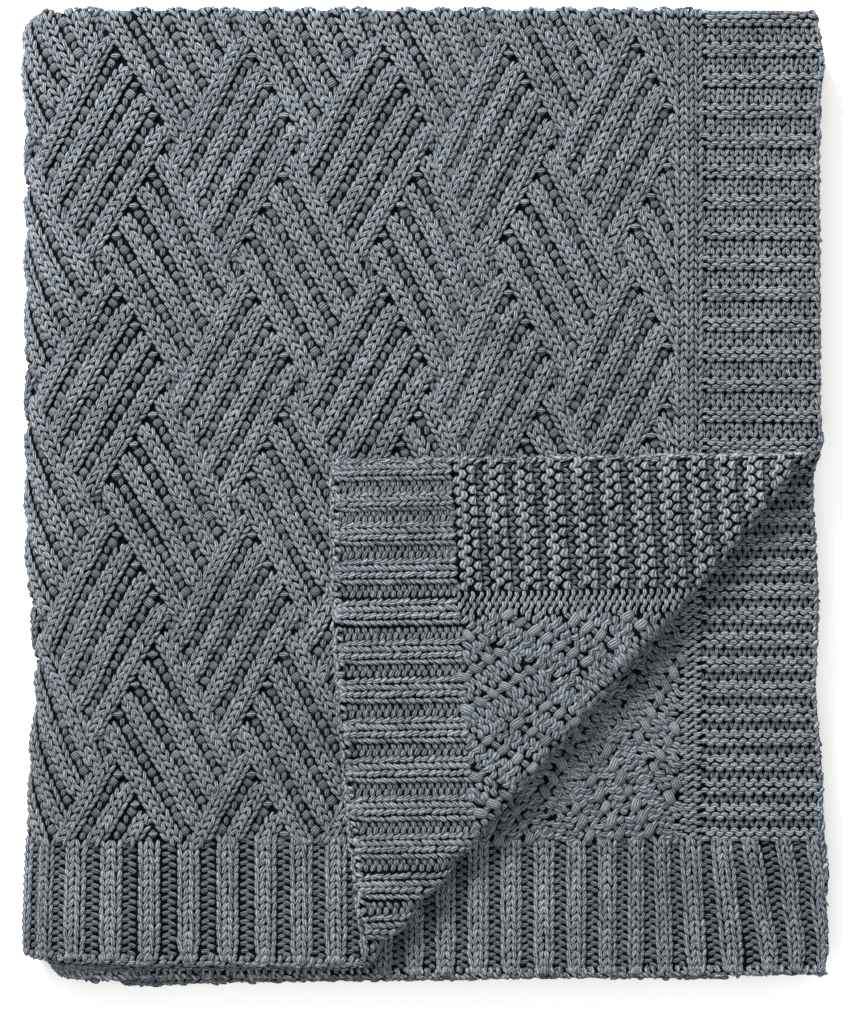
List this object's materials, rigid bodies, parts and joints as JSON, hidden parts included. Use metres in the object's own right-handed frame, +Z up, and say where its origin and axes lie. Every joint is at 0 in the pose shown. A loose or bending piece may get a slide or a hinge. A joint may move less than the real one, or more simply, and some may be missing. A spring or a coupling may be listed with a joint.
{
  "type": "folded throw blanket",
  "caption": "Cotton cable-knit throw in slate grey-blue, folded flat in half and in thirds, with one corner of the top ply turned back to show the reverse.",
  "frame": {"origin": "centre of the folded stack's footprint, on the surface it rests on", "axes": "+X to the right and +Y towards the half fold as seen from above, +Z up through the stack"},
  "size_m": [0.5206, 0.6305, 0.0616],
  "materials": {
    "knit": "matt bulky cotton knit"
  },
  "bodies": {
    "root": {"throw_cloth": "knit"}
  },
  "joints": []
}
